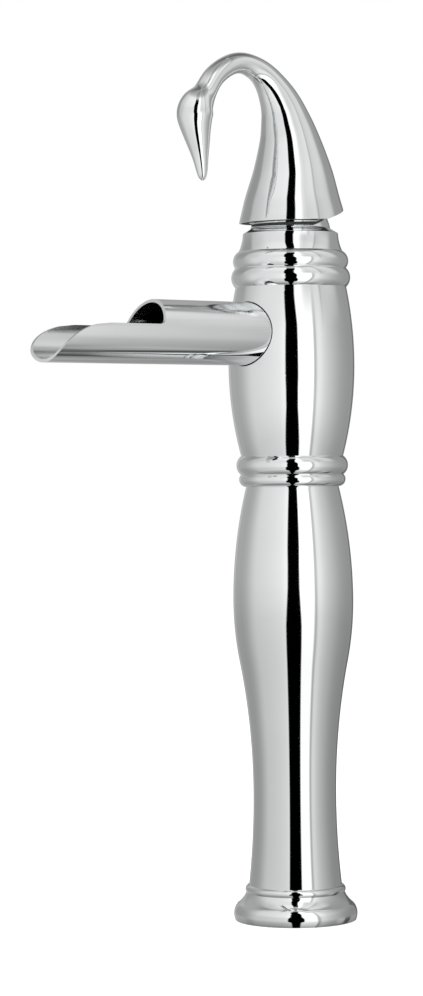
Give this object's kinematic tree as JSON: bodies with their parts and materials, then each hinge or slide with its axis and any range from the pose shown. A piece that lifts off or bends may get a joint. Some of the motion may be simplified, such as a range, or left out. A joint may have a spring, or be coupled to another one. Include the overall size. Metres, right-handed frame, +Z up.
{
  "type": "basin faucet",
  "caption": "Tall single-lever basin faucet with a turned baluster column, an open trough spout and a swan-shaped lever over a ceramic-disc cartridge.",
  "frame": {"origin": "middle of the base on the deck, on the column's axis", "axes": "+Z up along the column, -Y forward along the spout and the swan, +X towards the cold side"},
  "size_m": [0.0518, 0.1534, 0.3554],
  "materials": {
    "polished_chrome": "polished",
    "raw_brass": "machined",
    "seal_rubber": "matte",
    "cartridge_plastic": "moulded",
    "disc_ceramic": "lapped",
    "screw_steel": "machined",
    "bush_plastic": "moulded"
  },
  "bodies": {
    "faucet_body": {"base_flange": "polished_chrome", "base_gasket": "seal_rubber", "base_block": "raw_brass", "hot_riser": "raw_brass", "cold_riser": "raw_brass", "riser_seals": "seal_rubber", "lower_column": "polished_chrome", "joint_nipple": "raw_brass", "joint_oring": "seal_rubber", "upper_body": "polished_chrome", "spout_tube": "polished_chrome", "spout_oring": "seal_rubber", "spout_screw": "screw_steel", "bonnet": "polished_chrome", "cartridge_nut": "raw_brass", "cartridge_housing": "cartridge_plastic", "cartridge_base": "cartridge_plastic", "port_seals": "seal_rubber", "fixed_disc": "disc_ceramic"},
    "swivel": {"rotor": "cartridge_plastic", "stem_pin": "screw_steel"},
    "lever": {"stem": "screw_steel", "swan_handle": "polished_chrome", "handle_bush": "bush_plastic", "set_screw": "screw_steel", "screw_plug": "polished_chrome"},
    "disc_slide": {"disc_carrier": "cartridge_plastic", "moving_disc": "disc_ceramic"}
  },
  "joints": [
    {"name": "temperature_turn", "type": "hinge", "parent": "faucet_body", "child": "swivel", "pos_m": [0, 0, 0.2822], "axis": [0, 0, 1], "range_deg": [-45, 45]},
    {"name": "flow_lift", "type": "hinge", "parent": "swivel", "child": "lever", "pos_m": [0, 0, 0.2822], "axis": [-1, 0, 0], "range_deg": [0, 22]},
    {"name": "disc_travel", "type": "slide", "parent": "swivel", "child": "disc_slide", "axis": [0, -1, 0], "range_m": [0, 0.0039]}
  ],
  "couplings": [
    {"joint": "disc_travel", "follows": "flow_lift", "m_per_rad": 0.01}
  ]
}
